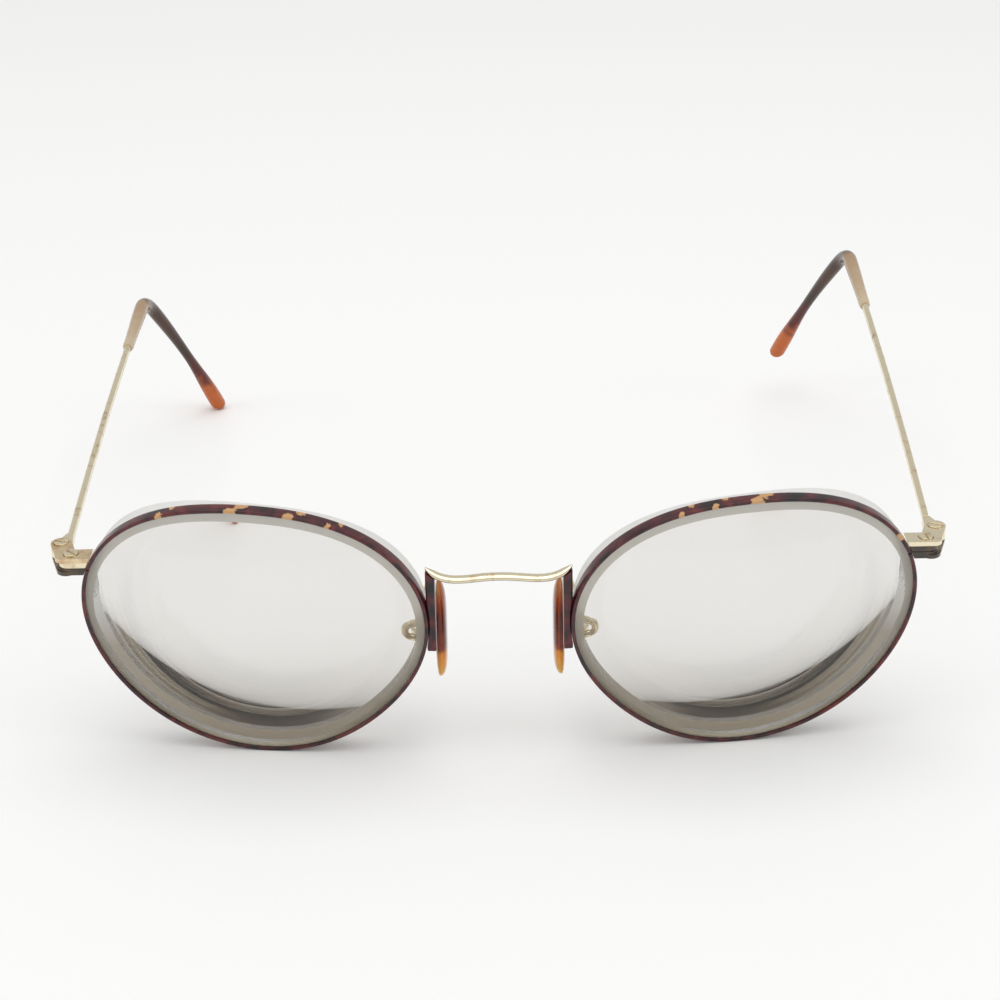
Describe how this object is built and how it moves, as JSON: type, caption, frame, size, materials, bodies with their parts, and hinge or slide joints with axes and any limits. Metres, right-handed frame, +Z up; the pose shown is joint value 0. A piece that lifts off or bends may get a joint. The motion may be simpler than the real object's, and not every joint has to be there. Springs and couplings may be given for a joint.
{
  "type": "eyeglass frame",
  "caption": "Round metal eyeglass frame with tortoise enamelled rims, slim gold wire temples that fold, curved acetate tips and rocking nose pads.",
  "frame": {"origin": "Centre of the bounding box in X and Y, at its lowest point in Z, with the temples open.", "axes": "+X runs across the face towards the right side as seen from the front, +Y runs from the front of the frame back to the ears, and +Z is up. The frame stands upright on the bottoms of its rims and on the left temple tip."},
  "size_m": [0.1298, 0.1302, 0.0425],
  "materials": {
    "rim_enamel": "glossy tortoise enamel over metal",
    "lens": "clear, with a ground edge",
    "pale_gold": "polished pale gold plate",
    "copper_gold": "worn copper gold plate",
    "dark_block": "dark brown enamel over metal",
    "pad_acetate": "clear amber acetate",
    "tip_acetate": "glossy tortoise acetate"
  },
  "bodies": {
    "front": {"rim_left": "rim_enamel", "rim_right": "rim_enamel", "lens_left": "lens", "lens_right": "lens", "bridge": "pale_gold", "bridge_foot_left": "rim_enamel", "bridge_foot_right": "rim_enamel", "endpiece_plate_left": "pale_gold", "endpiece_plate_right": "pale_gold", "upper_closing_block_left": "copper_gold", "upper_closing_block_right": "copper_gold", "lower_closing_block_left": "dark_block", "lower_closing_block_right": "dark_block", "closing_screw_left": "pale_gold", "closing_screw_right": "pale_gold", "hinge_screw_left": "pale_gold", "hinge_screw_right": "pale_gold", "pad_arm_left": "pale_gold", "pad_arm_right": "pale_gold", "pad_box_left": "pale_gold", "pad_box_right": "pale_gold", "pad_screw_left": "pale_gold", "pad_screw_right": "pale_gold"},
    "temple_left": {"temple_knuckle_left": "pale_gold", "temple_wire_left": "pale_gold", "temple_tip_left": "tip_acetate"},
    "rocking_pad_left": {"pad_stud_left": "pale_gold", "nose_pad_left": "pad_acetate"},
    "temple_right": {"temple_knuckle_right": "pale_gold", "temple_wire_right": "pale_gold", "temple_tip_right": "tip_acetate"},
    "rocking_pad_right": {"pad_stud_right": "pale_gold", "nose_pad_right": "pad_acetate"}
  },
  "joints": [
    {"name": "temple_left_fold", "type": "hinge", "parent": "front", "child": "temple_left", "pos_m": [-0.06237, -0.05466, 0.03186], "axis": [0, 0, 1], "range_deg": [-70, 0]},
    {"name": "temple_right_fold", "type": "hinge", "parent": "front", "child": "temple_right", "pos_m": [0.06237, -0.05466, 0.03186], "axis": [0, 0, 1], "range_deg": [0, 70]},
    {"name": "pad_left_rock", "type": "hinge", "parent": "front", "child": "rocking_pad_left", "pos_m": [-0.01077, -0.05604, 0.01868], "axis": [0, 1, 0], "range_deg": [-6, 6]},
    {"name": "pad_right_rock", "type": "hinge", "parent": "front", "child": "rocking_pad_right", "pos_m": [0.01077, -0.05604, 0.01868], "axis": [0, 1, 0], "range_deg": [-6, 6]}
  ]
}
